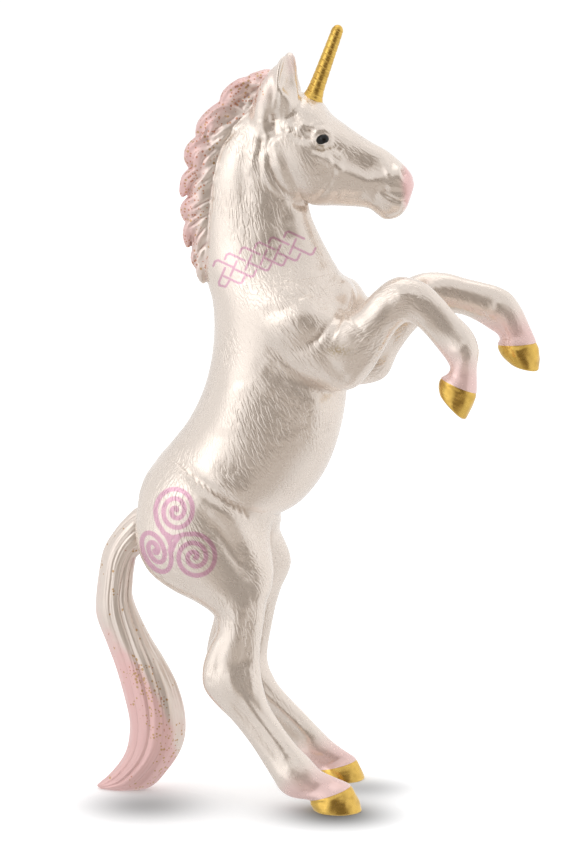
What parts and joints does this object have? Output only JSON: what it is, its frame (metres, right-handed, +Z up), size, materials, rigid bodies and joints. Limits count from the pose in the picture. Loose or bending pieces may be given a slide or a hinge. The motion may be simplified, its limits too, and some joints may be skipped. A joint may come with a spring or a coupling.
{
  "type": "rearing unicorn figurine",
  "caption": "Small rearing unicorn foal figurine, standing on its hind hooves and tail, with a spiral horn and a raised mane.",
  "frame": {"origin": "on the ground under the middle of the figure's outline box", "axes": "+X towards the animal's front, +Y to its left, +Z up"},
  "size_m": [0.0674, 0.0244, 0.1176],
  "materials": {
    "pearl_body": "pearl white paint with a satin sheen",
    "pink_hair": "pale pink paint with copper glitter",
    "gold_paint": "metallic gold paint",
    "black_gloss": "glossy black"
  },
  "bodies": {
    "root": {"torso": "pearl_body", "head_and_neck": "pearl_body", "mane": "pink_hair", "horn": "gold_paint", "right_eye": "black_gloss", "left_eye": "black_gloss", "right_foreleg": "pearl_body", "left_foreleg": "pearl_body", "right_hind_leg": "pearl_body", "left_hind_leg": "pearl_body", "right_fore_hoof": "gold_paint", "left_fore_hoof": "gold_paint", "right_hind_hoof": "gold_paint", "left_hind_hoof": "gold_paint", "tail": "pink_hair"}
  },
  "joints": []
}
